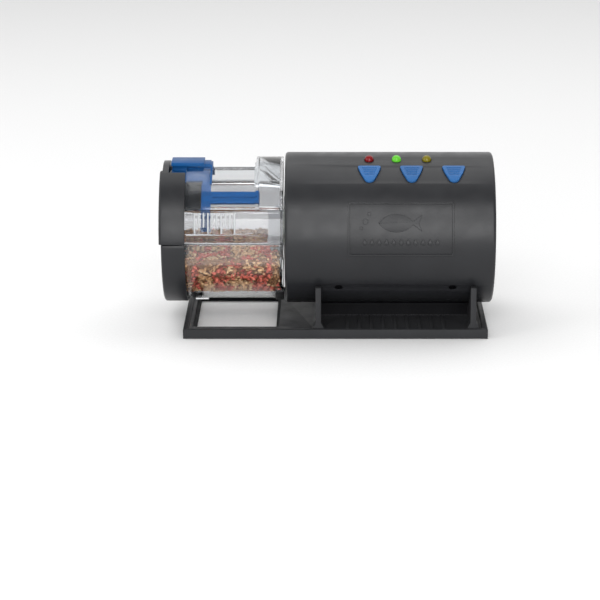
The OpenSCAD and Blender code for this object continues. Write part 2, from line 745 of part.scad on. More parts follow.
module drum_lid() color("#cfd6dc", 0.35) {
    tick_pitch = 1.9;
    tick_h = 0.5;
    difference() {
        union() {
            difference() {
                union() {
                    arc_wall(drum_in_r, drum_r, 0, band_a, drum_x0, drum_x1);
                    arc_wall(drum_in_r, drum_r, 180 - band_a, 180, drum_x0, drum_x1);
                    arc_wall(0, drum_r - 0.5, 0, 180, drum_x1 - end_t, drum_x1);
                    arc_wall(drum_r - 0.51, drum_r, ledge_a + 0.5, 180 - ledge_a - 0.5, drum_x1 - end_t, drum_x1);
                }
                below(seam);
                rod(socket_r + 1.5 + gap, drum_x1 - end_t - 1, drum_x1 + 1);
                for (x = knuckle_sets) knuckle_room(x);
            }
            for (x = knuckle_sets) knuckle(x + knuckle_l + gap);
        }
        for (x = knuckle_sets) hinge_bore(x, hinge_pin_r + running_gap);
    }
    // Ticks of the dose scale
    for (i = [0:9])
        arc_wall(drum_r - 0.2, drum_r + tick_h, i % 3 == 0 ? 9 : 14, 25.5, cap_x1 + 4 + i * tick_pitch, cap_x1 + 4.7 + i * tick_pitch);
}

module dosing_cover() color("#dfe5ea", 0.35) difference() {
    union() {
        // Sunk floor over the slider
        arc_wall(cover_r - cover_t, cover_r, cover_a, 180 - cover_a, cap_x1 + 0.05, block_x0 + 0.01);
        // Ledges that bring it back to the drum's surface
        for (a = [cover_a, 180 - ledge_a])
            arc_wall(cover_r - cover_t, drum_r, a, a + ledge_a - cover_a, cap_x1 + 0.05, drum_x1 - end_t - 0.05);
        // Raised block beside the housing
        arc_wall(drum_r - block_wall, drum_r, cover_a, 180 - cover_a, block_x0, drum_x1 - end_t - 0.05);
        arc_wall(cover_r - cover_t, drum_r, cover_a, 180 - cover_a, block_x0, block_x0 + block_wall);
    }
    // Dosing slot
    arc_wall(cover_r - cover_t - 1, cover_r + 1, slot_a, 180 - slot_a, slot_x0, slot_x1);
    // Slit in which the slider's neck runs, open to the slot
    translate([cap_x1 - 1, -neck_w / 2 - gap, axis_h + cover_r - 6])
        cube([slot_x0 + 1 - cap_x1 + 1, neck_w + 2 * gap, 12]);
}

module end_cap_upper() color("#2f3033") {
    difference() {
        on_axis() rotate_extrude(angle = 180, start = 0) cap_profile(0);
        below(seam);
        // Cut-out in which the slider's tab runs
        arc_wall(cut_floor, cap_r + 1, cap_cut_a, 180 - rear_cut_a, cap_x0 + 1.3, cap_x1 + 1);
        arc_wall(cut_floor, cap_r + 1, rim_cut_a, 180 - rear_cut_a, cap_x0 - 1, cap_x0 + 1.31);
        arc_wall(sleeve_r, cap_r + 1, cap_cut_a, 180 - rear_cut_a, cap_wall_x1, cap_x1 + 1);
        // Room to swing past the lower half
        rod(hinge_relief, cap_x0 - 1, cap_x1 + 1, [hinge_y, 0]);
    }
    // Sleeve that carries the slider from below
    arc_wall(sleeve_r - sleeve_t, sleeve_r, cover_a, 180 - cover_a, cap_wall_x1 - 0.01, strap_x0 - 0.15);
    // Guide blocks in front of and behind the deck
    for (a = [cover_a, 180 - guide_a])
        arc_wall(sleeve_r - 0.01, slider_r, a, a + guide_a - cover_a, cap_wall_x1 - 0.01, strap_x0 - 0.15);
}

module dose_slider() color("#2f5fa8") {
    arc_wall(slider_r - slider_t, slider_r, deck_a, 180 - deck_a, tab_x0, strap_x1);
    arc_wall(slider_r - slider_t, slider_r, 10, 128, strap_x0, strap_x1);
    difference() {
        arc_wall(slider_r - slider_t, slider_r, rail_a0, rail_a1, strap_x1 - 0.01, rail_x1);
        arc_wall(slider_r - 0.4, slider_r + 1, 41.2, 43, strap_x1 + 0.8, rail_x1 - 0.8);
    }
    // Neck that carries the thumb tab, and the crest beside it
    translate([tab_x0 + 0.3, -neck_w / 2, axis_h + slider_r - slider_t])
        cube([strap_x1 - tab_x0 - 0.3, neck_w, tab_low - slider_r + slider_t + 0.01]);
    translate([strap_x0, -neck_w / 2, axis_h + slider_r - slider_t])
        cube([strap_w - 0.8, neck_w, spine_top - slider_r + slider_t]);
    translate([tab_x0, tab_front, axis_h + tab_low]) cube([tab_l, tab_back - tab_front, tab_t]);
}

base_tray();
housing_shell();
badge();
drive_bulkhead();
bulkhead_screws();
hub_bushing();
gear_plate();
gear_pins();
gearbox_screws();
motor_can();
motor_end_bell();
chassis_plate();
housing_screws();
control_board();
tact_switches();
timer_chip();
led_red();
led_green();
led_yellow();
battery_holder();
battery_contacts();
battery_upper();
battery_lower();
battery_door();
button_left();
button_middle();
button_right();
drive_hub();
output_gear();
gear_b();
gear_a();
motor_pinion();
drum_trough();
drum_socket();
end_cap_lower();
drum_catch();
hinge_pins();
feed_fill();
drum_lid();
dosing_cover();
end_cap_upper();
dose_slider();
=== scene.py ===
"""Automatic fish feeder: finishes, fine parts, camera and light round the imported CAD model.

Every length is in metres in the CAD model's own frame: X runs along the drum's axis, -Y is the front
and +Z is up.
"""

import logging
import math
import random
from dataclasses import dataclass, field
from enum import Enum
from typing import Callable, Sequence

import bmesh
import bpy
from mathutils import Matrix, Vector, noise


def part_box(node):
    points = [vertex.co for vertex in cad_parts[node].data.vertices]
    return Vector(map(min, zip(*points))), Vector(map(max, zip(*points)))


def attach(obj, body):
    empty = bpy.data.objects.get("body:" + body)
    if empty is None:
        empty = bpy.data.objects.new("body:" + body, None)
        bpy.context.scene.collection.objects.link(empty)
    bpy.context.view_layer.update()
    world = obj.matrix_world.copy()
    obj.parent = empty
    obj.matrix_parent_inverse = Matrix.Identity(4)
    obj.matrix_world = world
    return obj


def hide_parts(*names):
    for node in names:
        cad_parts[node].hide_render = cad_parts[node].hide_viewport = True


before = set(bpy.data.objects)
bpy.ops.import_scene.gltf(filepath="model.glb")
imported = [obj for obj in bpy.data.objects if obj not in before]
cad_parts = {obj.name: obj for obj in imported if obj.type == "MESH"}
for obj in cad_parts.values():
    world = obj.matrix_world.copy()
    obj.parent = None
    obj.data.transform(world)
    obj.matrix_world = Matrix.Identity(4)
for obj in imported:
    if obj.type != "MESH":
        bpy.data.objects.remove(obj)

LOG = logging.getLogger("feeder")
MM = 0.001
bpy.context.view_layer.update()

Colour = tuple[float, float, float]
Stops = Sequence[tuple[float, Sequence[float]]]
FaceTest = Callable[[Vector, Vector], bool]


def axis_height() -> float:
    """Height of the drum's axis, read from the hub's bushing."""
    low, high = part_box("hub_bushing")
    return (low.z + high.z) / 2


AXIS_Z = axis_height()


# ---------------------------------------------------------------- modelling by hand


def settle() -> None:
    """Return to object mode with nothing selected."""
    if bpy.context.object is not None and bpy.context.object.mode != "OBJECT":
        bpy.ops.object.mode_set(mode="OBJECT")
    bpy.ops.object.select_all(action="DESELECT")


def pick(obj: bpy.types.Object) -> bpy.types.Object:
    """Make one object the only selected and the active one.

    Args:
        obj: The object to work on.

    Returns:
        The same object.
    """
    settle()
    obj.select_set(True)
    bpy.context.view_layer.objects.active = obj
    return obj


def edit(obj: bpy.types.Object) -> None:
    """Open an object in edit mode with all of it selected."""
    pick(obj)
    bpy.ops.object.mode_set(mode="EDIT")
    bpy.ops.mesh.select_mode(type="FACE")
    bpy.ops.mesh.select_all(action="SELECT")


def choose_faces(obj: bpy.types.Object, test: FaceTest) -> int:
    """Select in edit mode the faces that pass a test of their centre and normal.

    Args:
        obj: The object that is open in edit mode.
        test: Called with each face's centre and normal.

    Returns:
        How many faces are selected.
    """
    bpy.ops.mesh.select_all(action="DESELECT")
    shape = bmesh.from_edit_mesh(obj.data)
    count = 0
    for face in shape.faces:
        if test(face.calc_center_median(), face.normal):
            face.select_set(True)
            count += 1
    bmesh.update_edit_mesh(obj.data)
    return count


def name_new(name: str) -> bpy.types.Object:
    """Name the primitive that was just added."""
    obj = bpy.context.object
    obj.name = name
    obj.data.name = name
    return obj


def freeze(obj: bpy.types.Object) -> bpy.types.Object:
    """Move an object's place, turn and scale into its mesh.

    Args:
        obj: The object to freeze.

    Returns:
        The same object, now at the origin.
    """
    pick(obj)
    bpy.ops.object.transform_apply(location=True, rotation=True, scale=True)
    return obj


def apply_all(obj: bpy.types.Object) -> bpy.types.Object:
    """Apply every modifier of an object in order."""
    pick(obj)
    for modifier in list(obj.modifiers):
        bpy.ops.object.modifier_apply(modifier=modifier.name)
    return obj


def ease(obj: bpy.types.Object, width: float, segments: int = 2, angle: float = 34.0) -> bpy.types.Object:
    """Round an object's sharp edges and smooth the rest.

    Args:
        obj: The object to finish.
        width: Width of the rounding.
        segments: Steps across the rounding.
        angle: Edges sharper than this many degrees are rounded.

    Returns:
        The same object.
    """
    bevel = obj.modifiers.new("ease", "BEVEL")
    bevel.width = width
    bevel.segments = segments
    bevel.limit_method = "ANGLE"
    bevel.angle_limit = math.radians(angle)
    bevel.use_clamp_overlap = True
    bevel.miter_outer = "MITER_ARC"
    apply_all(obj)
    bpy.ops.object.shade_smooth_by_angle(angle=math.radians(angle))
    return obj


def tube_through(name: str, points: Sequence[Vector], radius: float) -> bpy.types.Object:
    """Make a smooth round wire through points.

    Args:
        name: Name of the piece.
        points: Points that the wire passes through.
        radius: Radius of the wire.

    Returns:
        The wire as a mesh.
    """
    settle()
    curve = bpy.data.curves.new(name, "CURVE")
    curve.dimensions = "3D"
    curve.bevel_depth = radius
    curve.bevel_resolution = 3
    curve.use_fill_caps = True
    spline = curve.splines.new("BEZIER")
    spline.bezier_points.add(len(points) - 1)
    for knot, point in zip(spline.bezier_points, points):
        knot.co = point
        knot.handle_left_type = knot.handle_right_type = "AUTO"
    obj = bpy.data.objects.new(name, curve)
    bpy.context.collection.objects.link(obj)
    pick(obj)
    bpy.ops.object.convert(target="MESH")
    bpy.ops.object.shade_smooth()
    return bpy.context.object


def merged_copy(node: str, name: str, dissolve: bool = True) -> bpy.types.Object:
    """Copy a CAD node and merge its loose triangles into one skin.

    Args:
        node: The CAD node.
        name: Name of the copy.
        dissolve: True to join flat neighbours, which doesn't suit wide faces with many openings.

    Returns:
        The copy, with no material.
    """
    settle()
    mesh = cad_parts[node].data.copy()
    mesh.name = name
    obj = bpy.data.objects.new(name, mesh)
    bpy.context.collection.objects.link(obj)
    mesh.materials.clear()
    pick(obj)
    if mesh.has_custom_normals:
        bpy.ops.mesh.customdata_custom_splitnormals_clear()
    edit(obj)
    bpy.ops.mesh.remove_doubles(threshold=2e-6)
    if dissolve:
        bpy.ops.mesh.dissolve_limited(angle_limit=math.radians(0.6))
    settle()
    return obj


# ---------------------------------------------------------------- finishes


class Weave:
    """A small builder of one material's nodes."""

    def __init__(self, name: str) -> None:
        """Start an empty material with an output and a Principled shader."""
        self.material = bpy.data.materials.new(name)
        self.material.use_nodes = True
        self.tree = self.material.node_tree
        self.tree.nodes.clear()
        self.output = self.add("ShaderNodeOutputMaterial")
        self.shader = self.add("ShaderNodeBsdfPrincipled")
        self.join(self.shader, "BSDF", self.output, "Surface")
        self.place = self.add("ShaderNodeTexCoord")

    def add(self, kind: str, **values: object) -> bpy.types.Node:
        """Add a node.

        Args:
            kind: The node's type name.
            **values: Properties to set on it.

        Returns:
            The node.
        """
        node = self.tree.nodes.new(kind)
        for key, value in values.items():
            setattr(node, key, value)
        return node

    def join(self, a: bpy.types.Node, out: str | int, b: bpy.types.Node, into: str | int) -> None:
        """Link an output socket to an input socket."""
        self.tree.links.new(a.outputs[out], b.inputs[into])

    def noise(
        self, scale: float, detail: float = 3.0, roughness: float = 0.5, stretch: Colour = (1, 1, 1)
    ) -> bpy.types.Node:
        """Add noise on object coordinates.

        Args:
            scale: Repeats per metre.
            detail: Octaves.
            roughness: Strength of the fine octaves.
            stretch: Scale along each axis.

        Returns:
            The noise node.
        """
        mapping = self.add("ShaderNodeMapping")
        mapping.inputs["Scale"].default_value = stretch
        self.join(self.place, "Object", mapping, "Vector")
        node = self.add("ShaderNodeTexNoise")
        node.inputs["Scale"].default_value = scale
        node.inputs["Detail"].default_value = detail
        node.inputs["Roughness"].default_value = roughness
        self.join(mapping, "Vector", node, "Vector")
        return node

    def ramp(
        self, source: bpy.types.Node, out: str | int, stops: Stops, steps: bool = False
    ) -> bpy.types.Node:
        """Add a colour ramp driven by a value.

        Args:
            source: The node that drives it.
            out: Its output socket.
            stops: Positions and colours.
            steps: True for hard steps between the stops.

        Returns:
            The ramp node.
        """
        node = self.add("ShaderNodeValToRGB")
        ramp = node.color_ramp
        if steps:
            ramp.interpolation = "CONSTANT"
        while len(ramp.elements) < len(stops):
            ramp.elements.new(0.5)
        for element, (position, colour) in zip(ramp.elements, stops):
            element.position = position
            element.color = (*colour[:3], 1.0)
        self.join(source, out, node, "Fac")
        return node

    def spread(
        self,
        source: bpy.types.Node,
        low: float,
        high: float,
        out: str | int = "Fac",
        start: float = 0.3,
        end: float = 0.7,
    ) -> bpy.types.Node:
        """Map a value's middle range to another range.

        Args:
            source: The node that gives the value.
            low: Result at start.
            high: Result at end.
            out: The source's output socket.
            start: Where the range begins.
            end: Where it ends.

        Returns:
            The map range node.
        """
        node = self.add("ShaderNodeMapRange")
        node.inputs["From Min"].default_value = start
        node.inputs["From Max"].default_value = end
        node.inputs["To Min"].default_value = low
        node.inputs["To Max"].default_value = high
        self.join(source, out, node, "Value")
        return node

    def bump(
        self, source: bpy.types.Node, height: float, strength: float = 1.0, out: str | int = "Fac"
    ) -> None:
        """Drive the shader's normal by a height.

        Args:
            source: The node that gives the height.
            height: Depth of the relief.
            strength: Share of the effect.
            out: The source's output socket.
        """
        node = self.add("ShaderNodeBump")
        node.inputs["Distance"].default_value = height
        node.inputs["Strength"].default_value = strength
        self.join(source, out, node, "Height")
        self.join(node, "Normal", self.shader, "Normal")

    def fix(self, **values: object) -> None:
        """Set constants on the shader's own sockets, with _ for a space."""
        for key, value in values.items():
            self.shader.inputs[key.replace("_", " ")].default_value = value


def shade(colour: Colour, factor: float) -> Colour:
    """A colour made lighter or darker by a factor."""
    return tuple(min(1.0, c * factor) for c in colour)


@dataclass(frozen=True)
class MouldedPlastic:
    """Opaque injection-moulded plastic with fine spark grain and slight tone changes."""

    name: str
    colour: Colour
    roughness: float = 0.4
    grain: float = 0.012 * MM
    grain_scale: float = 2600.0
    tone: float = 0.10
    index: float = 1.5
    gloss: float = 0.5

    def make(self) -> bpy.types.Material:
        """Build the material."""
        w = Weave(self.name)
        broad = w.noise(45.0, 3.0)
        fine = w.noise(self.grain_scale, 2.0, 0.6)
        stops = [(0.3, shade(self.colour, 1 - self.tone)), (0.7, shade(self.colour, 1 + self.tone))]
        w.join(w.ramp(broad, "Fac", stops), "Color", w.shader, "Base Color")
        rough = w.noise(160.0, 4.0)
        worn = w.spread(rough, self.roughness - 0.05, self.roughness + 0.06)
        w.join(worn, "Result", w.shader, "Roughness")
        w.bump(fine, self.grain)
        w.fix(IOR=self.index, Specular_IOR_Level=self.gloss)
        return w.material


@dataclass(frozen=True)
class ClearPlastic:
    """Polished clear plastic with handling marks, which lets lamps through; above a line it is partly
    milky, a painted reflection of a softbox.
    """

    name: str
    tint: Colour = (0.86, 0.88, 0.89)
    roughness: float = 0.02
    haze: float = 0.05
    gloss: float = 0.3
    reflection_veil: float = 0.0
    reflection_veil_from: float = -9.4 * MM
    reflection_veil_blend: float = 0.2 * MM

    def make(self) -> bpy.types.Material:
        """Build the material."""
        w = Weave(self.name)
        w.fix(IOR=1.42, Specular_IOR_Level=self.gloss)
        split = w.add("ShaderNodeSeparateXYZ")
        w.join(w.place, "Object", split, "Vector")
        # painted reflection: above this height part of the light is kept from passing through, so the
        # plastic shows a milky haze in place of a softbox's reflection
        line = AXIS_Z + self.reflection_veil_from
        painted_reflection = w.spread(split, 1.0, 1.0 - self.reflection_veil, "Z", line - self.reflection_veil_blend, line + self.reflection_veil_blend)
        w.join(painted_reflection, "Result", w.shader, "Transmission Weight")
        mottle = w.noise(60.0, 3.0)
        stops = [(0.3, shade(self.tint, 0.97)), (0.7, self.tint)]
        w.join(w.ramp(mottle, "Fac", stops), "Color", w.shader, "Base Color")
        marks = w.noise(420.0, 5.0, 0.7, (0.25, 1.0, 1.0))
        rough = w.spread(marks, self.roughness, self.roughness + self.haze, start=0.45, end=0.75)
        w.join(rough, "Result", w.shader, "Roughness")
        w.bump(w.noise(90.0, 1.0), 0.01 * MM, 0.5)
        path = w.add("ShaderNodeLightPath")
        through = w.add("ShaderNodeBsdfTransparent")
        through.inputs["Color"].default_value = (0.9, 0.92, 0.93, 1.0)
        mix = w.add("ShaderNodeMixShader")
        w.join(path, "Is Shadow Ray", mix, "Fac")
        w.join(w.shader, "BSDF", mix, 1)
        w.join(through, "BSDF", mix, 2)
        w.join(mix, "Shader", w.output, "Surface")
        return w.material


@dataclass(frozen=True)
class LampLens:
    """Tinted epoxy lens of an indicator lamp with a painted highlight at the middle of its dome and
    painted shade towards its rim; a lit lens also glows.
    """

    name: str
    colour: Colour
    centre: Vector
    lit: float = 0.0

    def make(self) -> bpy.types.Material:
        """Build the material."""
        w = Weave(self.name)
        w.fix(Transmission_Weight=0.08, IOR=1.45, Specular_IOR_Level=0.35)
        offset = w.add("ShaderNodeVectorMath", operation="DISTANCE")
        offset.inputs[1].default_value = self.centre
        w.join(w.place, "Object", offset, 0)
        near = w.spread(offset, 1.0, 0.0, "Value", 0.3 * MM, 2.4 * MM)
        # painted highlight and shade: the base colour runs from 0.3 times the tint at the rim to 1.9
        # times it at the centre, on lit and unlit lenses alike
        stops = [(0.0, shade(self.colour, 0.3)), (0.5, self.colour), (1.0, shade(self.colour, 1.9))]
        w.join(w.ramp(near, "Result", stops), "Color", w.shader, "Base Color")
        swirl = w.noise(900.0, 2.0)
        w.join(w.spread(swirl, 0.1, 0.2), "Result", w.shader, "Roughness")
        if self.lit:
            glow = [(0.0, (0.03, 0.30, 0.01)), (0.5, (0.12, 0.62, 0.03)), (1.0, (0.62, 1.0, 0.34))]
            w.join(w.ramp(near, "Result", glow), "Color", w.shader, "Emission Color")
            w.fix(Emission_Strength=self.lit)
        w.bump(swirl, 0.01 * MM, 0.4)
        return w.material


@dataclass(frozen=True)
class WorkedMetal:
    """Bare metal with drawn or turned marks along one direction."""

    name: str
    colour: Colour
    roughness: float = 0.32
    stretch: Colour = (0.06, 1.0, 1.0)
    scale: float = 1800.0

    def make(self) -> bpy.types.Material:
        """Build the material."""
        w = Weave(self.name)
        marks = w.noise(self.scale, 4.0, 0.65, self.stretch)
        tarnish = w.noise(120.0, 3.0)
        stops = [(0.3, shade(self.colour, 0.82)), (0.7, self.colour)]
        w.join(w.ramp(tarnish, "Fac", stops), "Color", w.shader, "Base Color")
        drawn = w.spread(marks, self.roughness - 0.08, self.roughness + 0.12)
        w.join(drawn, "Result", w.shader, "Roughness")
        w.bump(marks, 0.006 * MM)
        w.fix(Metallic=1.0)
        return w.material


@dataclass(frozen=True)
class CellJacket:
    """Printed sleeve of a battery cell: a coloured end, a dark body and bare ends."""

    name: str
    start: float
    end: float
    nub_at_start: bool

    def make(self) -> bpy.types.Material:
        """Build the material."""
        w = Weave(self.name)
        split = w.add("ShaderNodeSeparateXYZ")
        w.join(w.place, "Object", split, "Vector")
        first, last = (self.start, self.end) if self.nub_at_start else (self.end, self.start)
        along = w.spread(split, 0.0, 1.0, "X", first, last)
        sleeve = [
            (0.0, (0.55, 0.55, 0.56)),
            (0.035, (0.62, 0.33, 0.10)),
            (0.30, (0.02, 0.02, 0.022)),
            (0.975, (0.5, 0.5, 0.52)),
        ]
        w.join(w.ramp(along, "Result", sleeve, True), "Color", w.shader, "Base Color")
        bare = [(0.0, (1, 1, 1)), (0.035, (0.25,) * 3), (0.30, (0, 0, 0)), (0.975, (1, 1, 1))]
        w.join(w.ramp(along, "Result", bare, True), "Color", w.shader, "Metallic")
        scuff = w.noise(300.0, 4.0, 0.6, (0.3, 1, 1))
        w.join(w.spread(scuff, 0.22, 0.42), "Result", w.shader, "Roughness")
        w.bump(scuff, 0.004 * MM)
        return w.material


@dataclass(frozen=True)
class BoardLaminate:
    """Solder-masked circuit board with tracks under the mask."""

    name: str
    colour: Colour

    def make(self) -> bpy.types.Material:
        """Build the material."""
        w = Weave(self.name)
        tracks = w.add("ShaderNodeTexVoronoi", distance="MANHATTAN", feature="DISTANCE_TO_EDGE")
        tracks.inputs["Scale"].default_value = 260.0
        w.join(w.place, "Object", tracks, "Vector")
        stops = [(0.04, shade(self.colour, 1.7)), (0.09, self.colour)]
        w.join(w.ramp(tracks, "Distance", stops), "Color", w.shader, "Base Color")
        w.join(w.spread(w.noise(500.0), 0.22, 0.34), "Result", w.shader, "Roughness")
        w.bump(tracks, 0.02 * MM, 0.6, "Distance")
        return w.material


@dataclass(frozen=True)
class DriedFeed:
    """Dry flakes whose tone comes from an attribute that differs from flake to flake, with painted shade
    from a second attribute that darkens the deeper flakes.
    """

    name: str
    attribute: str = "tone"
    level: str = "level"

    def make(self) -> bpy.types.Material:
        """Build the material."""
        w = Weave(self.name)
        tone = w.add("ShaderNodeAttribute", attribute_name=self.attribute)
        stops = [
            (0.00, (0.240, 0.040, 0.026)),
            (0.16, (0.440, 0.075, 0.050)),
            (0.36, (0.740, 0.190, 0.125)),
            (0.44, (0.420, 0.210, 0.100)),
            (0.62, (0.580, 0.330, 0.155)),
            (0.82, (0.740, 0.460, 0.240)),
            (1.00, (0.840, 0.590, 0.350)),
        ]
        ramp = w.ramp(tone, "Fac", stops)
        speckle = w.noise(1500.0, 4.0, 0.7)
        mix = w.add("ShaderNodeMix", data_type="RGBA", blend_type="MULTIPLY")
        mix.inputs["Factor"].default_value = 0.6
        w.join(ramp, "Color", mix, 6)
        dark_specks = [(0.3, (0.55, 0.5, 0.48)), (0.62, (1, 1, 1))]
        w.join(w.ramp(speckle, "Fac", dark_specks), "Color", mix, 7)
        # painted shade: flakes lying deeper in the heap get a darker colour, standing in for the shade
        # between flakes
        level = w.add("ShaderNodeAttribute", attribute_name=self.level)
        painted_shade_mix = w.add("ShaderNodeMix", data_type="RGBA", blend_type="MULTIPLY")
        painted_shade_mix.inputs["Factor"].default_value = 1.0
        w.join(mix, 2, painted_shade_mix, 6)
        painted_depth_shade = [(0.0, (0.24, 0.18, 0.14)), (0.45, (0.54, 0.47, 0.42)), (0.85, (0.94, 0.93, 0.92))]
        w.join(w.ramp(level, "Fac", painted_depth_shade), "Color", painted_shade_mix, 7)
        w.join(painted_shade_mix, 2, w.shader, "Base Color")
        w.join(w.spread(speckle, 0.62, 0.9), "Result", w.shader, "Roughness")
        w.bump(speckle, 0.12 * MM)
        return w.material


class Finish(Enum):
    """The finishes that the feeder's pieces share."""

    TRAY = MouldedPlastic(
        "tray_black", (0.028, 0.0285, 0.0305), 0.45, 0.02 * MM, 1900.0, index=1.4, gloss=0.12
    )
    HOUSING = MouldedPlastic("housing_black", (0.0150, 0.0155, 0.0175), 0.34, index=1.42, gloss=0.42)
    CAP = MouldedPlastic("cap_black", (0.0145, 0.015, 0.017), 0.34, index=1.42, gloss=0.42)
    INNER = MouldedPlastic("inner_black", (0.010, 0.010, 0.0115), 0.5, index=1.4)
    NATURAL = MouldedPlastic("natural_acetal", (0.74, 0.72, 0.66), 0.34, 0.006 * MM)
    BUTTON = MouldedPlastic("button_blue", (0.022, 0.100, 0.27), 0.36, 0.006 * MM, index=1.42, gloss=0.35)
    SLIDER = MouldedPlastic("slider_blue", (0.008, 0.072, 0.22), 0.34, 0.006 * MM, index=1.4, gloss=0.15)
    # near-black: the chute lip's own colour, and also a painted shadow on the cradle's front and back
    # faces
    CHUTE_AND_SHADOW = MouldedPlastic("chute_black_and_cradle_shadow", (0.006, 0.006, 0.007), 0.5, index=1.36, gloss=0.05)
    TICK = MouldedPlastic("frosted_tick", (0.36, 0.37, 0.38), 0.4)
    CHIP = MouldedPlastic("chip_black", (0.014, 0.014, 0.016), 0.5)
    WIRE_RED = MouldedPlastic("wire_red", (0.45, 0.015, 0.02), 0.35)
    WIRE_BLACK = MouldedPlastic("wire_black", (0.015, 0.015, 0.017), 0.35)
    # painted reflection: the veil amounts below make the upper part of each clear piece milky, standing
    # in for a softbox's hazy reflection
    DRUM = ClearPlastic("drum_clear", (0.90, 0.91, 0.92), reflection_veil=0.035)
    LID = ClearPlastic("lid_smoke", (0.57, 0.57, 0.58), gloss=0.2, reflection_veil=0.025, reflection_veil_from=-5 * MM)
    COVER = ClearPlastic("cover_clear", (0.78, 0.80, 0.82), gloss=0.1)
    SOCKET = ClearPlastic("socket_smoke", (0.60, 0.61, 0.63), 0.2, 0.1, reflection_veil=0.5, reflection_veil_from=-20 * MM)
    STEEL = WorkedMetal("plated_steel", (0.60, 0.61, 0.62), 0.3)
    # near-black metal: painted shade for screws that sit in dark recesses
    RECESS_SHADE_STEEL = WorkedMetal("screw_recess_shade", (0.030, 0.030, 0.034), 0.38)
    MOTOR = WorkedMetal("motor_steel", (0.50, 0.51, 0.52), 0.36)
    BRASS = WorkedMetal("turned_brass", (0.66, 0.47, 0.20), 0.28)
    BOARD = BoardLaminate("board_green", (0.018, 0.13, 0.05))
    FEED = DriedFeed("dried_feed")


class Paint:
    """Makes each finish once and puts it on pieces."""

    def __init__(self) -> None:
        """Start with nothing mixed."""
        self.made: dict[str, bpy.types.Material] = {}

    def mix(self, recipe: object) -> bpy.types.Material:
        """The material of a recipe, made on its first use.

        Args:
            recipe: A Finish or a finish dataclass.

        Returns:
            The material.
        """
        if isinstance(recipe, Finish):
            recipe = recipe.value
        if recipe.name not in self.made:
            self.made[recipe.name] = recipe.make()
        return self.made[recipe.name]

    def node(self, names: str | Sequence[str], recipe: object) -> None:
        """Give CAD nodes a finish.

        Args:
            names: One node's name, or several.
            recipe: The finish.
        """
        for name in [names] if isinstance(names, str) else names:
            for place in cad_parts[name].material_slots:
                place.material = self.mix(recipe)
            LOG.info("node %s is dressed", name)

    def piece(
        self, obj: bpy.types.Object, recipe: object, body: str, replaces: Sequence[str] = ()
    ) -> bpy.types.Object:
        """Give a new piece its finish and its body.

        Args:
            obj: The piece.
            recipe: Its finish.
            body: The CAD body that it rides on.
            replaces: CAD nodes that it stands for.

        Returns:
            The piece.
        """
        obj.data.materials.clear()
        obj.data.materials.append(self.mix(recipe))
        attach(obj, body)
        if replaces:
            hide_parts(*replaces)
        LOG.info("piece %s rides on %s", obj.name, body)
        return obj

    def part(self, obj: bpy.types.Object, recipe: object, test: FaceTest) -> None:
        """Give some faces of a piece a second finish.

        Args:
            obj: The piece.
            recipe: The second finish.
            test: Called with each face's centre and normal.
        """
        obj.data.materials.append(self.mix(recipe))
        for face in obj.data.polygons:
            if test(face.center, face.normal):
                face.material_index = len(obj.data.materials) - 1


PAINT = Paint()


def eased_node(
    node: str, name: str, recipe: object, body: str, width: float, segments: int = 2
) -> bpy.types.Object:
    """Replace a CAD node by its own shape with rounded edges.

    Args:
        node: The CAD node.
        name: Name of the new piece.
        recipe: Its finish.
        body: Its body.
        width: Width of the rounding.
        segments: Steps across the rounding.

    Returns:
        The new piece.
    """
    obj = ease(merged_copy(node, name), width, segments)
    return PAINT.piece(obj, recipe, body, [node])


# ---------------------------------------------------------------- the feeder's sub-assemblies


@dataclass
class Tray:
    """The tray with its cradle."""

    edge: float = 0.35 * MM
    chute: tuple[Vector, Vector] = (Vector((-58.6, -25.8, 0.1)) * MM, Vector((-20.5, 25.8, 2.2)) * MM)
    cradle: tuple[Vector, Vector] = (Vector((-5, -8.6, 3.1)) * MM, Vector((66, 8.6, 11.5)) * MM)

    @staticmethod
    def within(box: tuple[Vector, Vector], at: Vector) -> bool:
        """Whether a point lies inside a box.

        Args:
            box: Its low and high corners.
            at: The point.

        Returns:
            True inside.
        """
        return all(low < value < high for low, value, high in zip(box[0], at, box[1]))

    def build(self) -> None:
        """Model and dress the tray."""
        tray = ease(merged_copy("base_tray", "tray_moulding", False), self.edge)
        PAINT.piece(tray, Finish.TRAY, "base", ["base_tray"])
        PAINT.part(tray, Finish.CHUTE_AND_SHADOW, lambda c, n: self.within(self.chute, c))
        # painted shadow: the cradle's front and back faces get the near-black finish, standing in for the
        # shade beneath the housing
        PAINT.part(tray, Finish.CHUTE_AND_SHADOW, lambda c, n: self.within(self.cradle, c) and abs(n.y) > 0.5)


@dataclass
class Housing:
    """The motor housing's shell, emblem, screws and battery door."""

    edge: float = 0.25 * MM

    def build(self) -> None:
        """Model and dress the housing."""
        eased_node("housing_shell", "housing_moulding", Finish.HOUSING, "housing", self.edge)
        eased_node("battery_door", "door_moulding", Finish.HOUSING, "battery_door", 0.2 * MM)
        eased_node("badge", "badge_relief", Finish.HOUSING, "housing", 0.16 * MM, 3)
        PAINT.node(["drive_bulkhead", "chassis_plate", "battery_holder"], Finish.INNER)
        PAINT.node(["bulkhead_screws", "gearbox_screws"], Finish.STEEL)
        # painted shade: the housing screws are near-black so that they read as the shade in their
        # recesses
        PAINT.node("housing_screws", Finish.RECESS_SHADE_STEEL)


